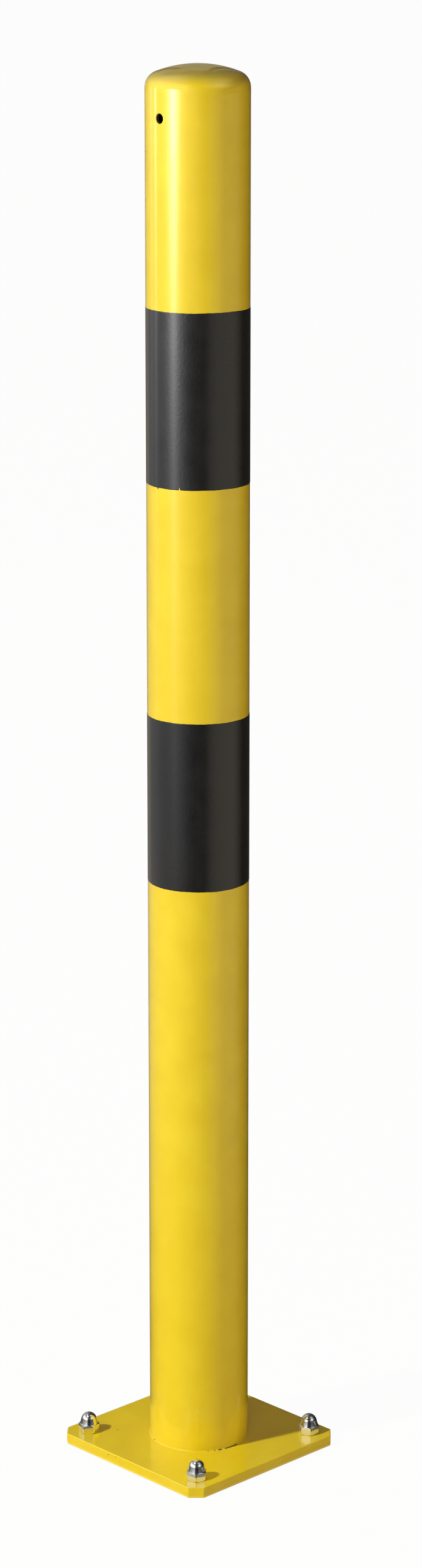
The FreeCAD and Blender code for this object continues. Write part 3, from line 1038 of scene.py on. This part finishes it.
# %% Lamps
def lamp(name, direction, distance, aim, level, size, colour=(1, 1, 1)):
    """A disc lamp that faces the axis at the height aim. Watts spread over pi times the distance
    squared, so the power is the level at the post times that."""
    light = bpy.data.lights.new(name, "AREA")
    light.shape = "DISK"
    light.size = size
    light.color = colour
    light.energy = level * math.pi * distance**2
    towards = mathutils.Vector(direction).normalized()
    piece = bpy.data.objects.new(name, light)
    piece.location = towards * distance + mathutils.Vector((0, 0, aim))
    piece.rotation_euler = towards.to_track_quat("Z", "Y").to_euler()
    piece.visible_camera = False
    piece.visible_glossy = False
    bpy.context.scene.collection.objects.link(piece)
    print(f"{name}: at {np.round(piece.location, 2).tolist()}, {light.energy:.0f} W")


WARM = (1.0, 0.78, 0.45)
lamp("key_light", (-0.75, 0.202, 0.63), distance=9.0, aim=0.75, level=2.82, size=0.6)
lamp("fill_light", (-0.79, -0.6, 0.12), distance=4.0, aim=0.6, level=0.6, size=2.0)
lamp(
    "warm_bounce", (0.8, -0.6, 0.06), distance=4.0, aim=0.8, level=0.33, size=2.0, colour=WARM
)

# %% [markdown]
# ## World
#
# Light also comes from everywhere else. An image of a sky would give that, but here a plain warm
# grey is enough, paler near the horizon and darker overhead. The Generated coordinates of a world
# are the direction of the view, so their Z tells how high it is.

# %% World
HORIZON_GREY = (0.39, 0.31, 0.26, 1)
ZENITH_GREY = (0.22, 0.18, 0.15, 1)
ZENITH_RISE = 0.8

world = bpy.data.worlds.new("studio_grey")
world.use_nodes = True
tree = world.node_tree
direction = add(tree, "ShaderNodeTexCoord").outputs["Generated"]
rise = spread(tree, height_of(tree, direction), 0.0, ZENITH_RISE)
tone = mix_colour(tree, rise, HORIZON_GREY, ZENITH_GREY)
feed(tree, tree.nodes["Background"], {"Color": tone})
bpy.context.scene.world = world
print("world:", world.name)

# %% [markdown]
# ## What the gloss reflects
#
# Gloss paint and bright metal look like what stands around them. In an empty grey room they turn
# milky, so photographers set up bright panels and black flags just outside the picture. The cards
# below do that: only glossy rays can see them, so they shape reflections without lighting the
# paint or throwing a shadow. How much each point glows is worked out with numpy and kept as an
# attribute.

# %% Card helpers
def glow_card(name, points, levels, tint=(1, 1, 1, 1)):
    """A grid that glows by the level at each of its points, and that only glossy rays see."""
    rows, columns = points.shape[:2]
    finish, tree = empty_material(name)
    level = add(tree, "ShaderNodeAttribute", attribute_name="glow_level").outputs["Fac"]
    glow = add(tree, "ShaderNodeEmission", {"Color": tint, "Strength": level})
    add(tree, "ShaderNodeOutputMaterial", {"Surface": glow.outputs[0]})
    card = stage_piece(name, points, grid_quads(rows, columns, loop_columns=False), finish)
    level_at_point = np.broadcast_to(levels, (rows, columns)).ravel().astype(np.float32)
    glow_level = card.data.attributes.new("glow_level", "FLOAT", "POINT")
    glow_level.data.foreach_set("value", level_at_point)
    for kind in ("camera", "diffuse", "transmission", "volume_scatter", "shadow"):
        setattr(card, f"visible_{kind}", False)
    print(f"{name}: glow from {np.min(levels):.2f} to {np.max(levels):.2f}")


def wall(bearings, heights, distance, shape=(3, 25)):
    """A piece of a cylinder about Z, in rows and columns, between two bearings in degrees and two
    heights in metres."""
    rows, columns = shape
    turn = np.radians(np.linspace(*bearings, columns))
    return around(distance, np.linspace(*heights, rows)[:, None], turn[None])


def bell(away, half_width):
    """A bell with long tails, half as high at the half width: 1 / (1 + 0.414 (away / half)^2)^2."""
    return 1 / (1 + 0.414 * (away / half_width) ** 2) ** 2


print("points in a plain card:", wall((0, 10), (0, 1), 1.0)[..., 0].size)

# %% [markdown]
# ## The panel on the left
#
# The tall streak on the tube is the reflection of this panel. It has three glowing strips that
# fade downwards, so the streak fades as well, and a faint haze that lifts the black bands. The
# panel hangs well above the plate, so that the plate does not mirror it from the other side.

# %% Left panel
PANEL_SPAN = (94, 222)
PANEL_HEIGHTS = (0.4, 1.25)
PANEL_REACH = 0.5
PANEL_SHAPE = (60, 129)
FADE_FROM, FADE_LENGTH = 1.177, 0.17
STRIPS = [(13.5, 173.8, 8.0), (4.2, 125.4, 2.6), (1.0, 108.7, 4.0)]
HAZE = 0.36
HAZE_BEARINGS = (94, 115, 190, 205, 222)
HAZE_SHARES = (0.6, 1, 1, 0.4, 0.1)

bearings = np.linspace(*PANEL_SPAN, PANEL_SHAPE[1])
heights = np.linspace(*PANEL_HEIGHTS, PANEL_SHAPE[0])[:, None]
fade = np.exp((np.minimum(heights, FADE_FROM) - FADE_FROM) / FADE_LENGTH)
strips = sum(level * bell(bearings - middle, width) for level, middle, width in STRIPS)
panel_glow = fade * strips + HAZE * np.interp(bearings, HAZE_BEARINGS, HAZE_SHARES)
panel = wall(PANEL_SPAN, PANEL_HEIGHTS, PANEL_REACH, PANEL_SHAPE)
glow_card("left_panel", panel, panel_glow)

# %% [markdown]
# ## The surroundings
#
# The dome and the nuts mirror the whole horizon. Most of it is one wide wall whose glow changes
# with the bearing and sinks towards the ground. A few smaller cards, dark or pale, give the crisp
# edges that the eye reads as gloss. The window on the right has no hard edge, because the tube
# would show it as a patch.

# %% Cards round the post
NEARLY_BLACK = 0.01
HEDGE_GLOW = 0.03
SKY_GLOW = 0.34
SKY_TINT = (1, 0.9, 0.64, 1)
glow_card("dark_strip_right", wall((40.3, 42.0), (0.0, 20.0), 20.0), NEARLY_BLACK)
glow_card("dark_strip_left", wall((50.8, 52.8), (0.0, 11.0), 20.0), NEARLY_BLACK)
glow_card("pale_sky", wall((40, 76), (1.3, 17.6), 22.0), SKY_GLOW, tint=SKY_TINT)
glow_card("dark_hedge", wall((33, 56), (0.0, 1.2), 2.5), HEDGE_GLOW)

WALL_SPAN = (76, 399)
WALL_SHAPE = (9, 162)
WALL_RISE = 0.3
WALL_FOOT = 0.15
WALL_BEARINGS = (76, 100, 130, 198, 212, 246, 258, 294, 306, 345, 399)
WALL_LEVELS = (0.3, 0.6, 1.3, 1.3, 0.05, 0.04, 0.25, 0.25, 0.05, 0.03, 0.06)
wall_glow = np.interp(np.linspace(*WALL_SPAN, WALL_SHAPE[1]), WALL_BEARINGS, WALL_LEVELS)
wall_rise = smooth_step(np.linspace(0, 1, WALL_SHAPE[0]) / WALL_RISE)[:, None]
horizon = wall(WALL_SPAN, (0.0, 18.0), 20.0, WALL_SHAPE)
glow_card("horizon", horizon, wall_glow * (WALL_FOOT + (1 - WALL_FOOT) * wall_rise))

WINDOW_SPAN = (240, 324)
WINDOW_SHAPE = (12, 43)
WINDOW_MIDDLE, WINDOW_HALF_WIDTH = 282, 17
WINDOW_RISE = 0.4
WINDOW_DARK, WINDOW_BRIGHT = 0.04, 1.1
away = np.linspace(*WINDOW_SPAN, WINDOW_SHAPE[1]) - WINDOW_MIDDLE
window_rise = smooth_step(np.linspace(0, 1, WINDOW_SHAPE[0]) / WINDOW_RISE)[:, None]
window_glow = WINDOW_DARK + WINDOW_BRIGHT * window_rise * bell(away, WINDOW_HALF_WIDTH)
window = wall(WINDOW_SPAN, (4.0, 17.8), 19.0, WINDOW_SHAPE)
glow_card("right_window", window, window_glow)

# %% [markdown]
# ## Above and below
#
# A ceiling far up, dark in its middle, shows in the crown of the dome and on top of the nuts. The
# ground card lies just over the floor, because a mirror that saw the white floor would look milky.
# It starts at the plate's outline, and spots of glow beside it brighten the flats of the nuts.

# %% Ceiling and ground
CEILING_HEIGHT = 18.2
CEILING_DARK = 0.05
CEILING_RINGS = (0.0, 2.0, 4.0, 9.0, 23.0)
CEILING_FADE_FROM, CEILING_FADE_LENGTH = 2, 5
CEILING_BEARINGS = (0, 45, 70, 95, 165, 190, 226, 260, 285, 320, 345, 360)
CEILING_LEVELS = (0.05, 0.08, 0.3, 0.8, 0.8, 0.1, 0.03, 0.1, 0.5, 0.4, 0.05, 0.05)
ceiling_turn = np.linspace(0, 360, 73)
ceiling_reach = np.array(CEILING_RINGS)[:, None]
ceiling_rise = smooth_step((ceiling_reach - CEILING_FADE_FROM) / CEILING_FADE_LENGTH)
ceiling_glow = np.interp(ceiling_turn, CEILING_BEARINGS, CEILING_LEVELS) - CEILING_DARK
ceiling_glow = CEILING_DARK + ceiling_glow * ceiling_rise
ceiling = around(ceiling_reach, CEILING_HEIGHT, np.radians(ceiling_turn))
glow_card("ceiling", ceiling, ceiling_glow)

GROUND_HEIGHT = 0.5 * MM
GROUND_CLEARANCE = 2 * MM
GROUND_NEAR_SHARE = 0.25
GROUND_FADE_FROM, GROUND_FADE_LENGTH = 0.15, 1.2
GROUND_TINT = (1, 0.92, 0.75, 1)
GROUND_BEARINGS = (0, 40, 60, 85, 140, 165, 195, 240, 255, 270, 310, 325, 338, 360)
GROUND_LEVELS = (
    0.03, 0.03, 0.2, 0.4, 0.45, 0.42, 0.2, 0.05, 0.38, 0.5, 0.5, 0.25, 0.03, 0.03
)
GROUND_RINGS = (0.125, 0.14, 0.16, 0.2, 0.3, 0.5, 0.7, 0.9, 1.1, 1.4, 5, 45)
NEAR_SPOTS = [(0.55, 205, 9), (0.25, 243, 9), (0.25, 146, 12)]
NEAR_RING, NEAR_WIDTH = 0.13, 0.03
ground_rays = np.append(plate_rays, plate_rays[0])
ground_turn = np.degrees(ground_rays) % 360
ground_edge = np.append(outline_reach, outline_reach[0]) + GROUND_CLEARANCE
ground_rings = np.outer(GROUND_RINGS, np.ones_like(ground_rays))
ground_reach = np.concatenate([[ground_edge], ground_rings])
ground_glow = np.interp(ground_turn, GROUND_BEARINGS, GROUND_LEVELS)
ground_rise = smooth_step((ground_reach - GROUND_FADE_FROM) / GROUND_FADE_LENGTH)
ground_glow = ground_glow * (GROUND_NEAR_SHARE + (1 - GROUND_NEAR_SHARE) * ground_rise)
near_glow = sum(level * bell(ground_turn - middle, width) for level, middle, width in NEAR_SPOTS)
near_ring = np.exp(-(((ground_reach - NEAR_RING) / NEAR_WIDTH) ** 2))
ground = around(ground_reach, GROUND_HEIGHT, ground_rays)
glow_card("ground", ground, ground_glow + near_glow * near_ring, tint=GROUND_TINT)

# %% [markdown]
# ## Camera and finish
#
# The camera stands a little above the top of the post and looks down on the plate's front corner.
# Its place was worked out from the edges of tube, bands and plate in the picture, so the tall
# frame needs no shift. The last line sets the Standard view transform.

# %% Camera and finish
lens = bpy.data.cameras.new("camera")
lens.sensor_width = 36.0
lens.lens = 88.11
lens.clip_end = 500.0
camera = bpy.data.objects.new("camera", lens)
camera.location = (-2.2421, -2.3405, 1.4672)
camera.rotation_euler = (math.radians(75.364), 0.0, math.radians(-43.965))
bpy.context.scene.collection.objects.link(camera)
bpy.context.scene.camera = camera
bpy.context.scene.view_settings.view_transform = "Standard"
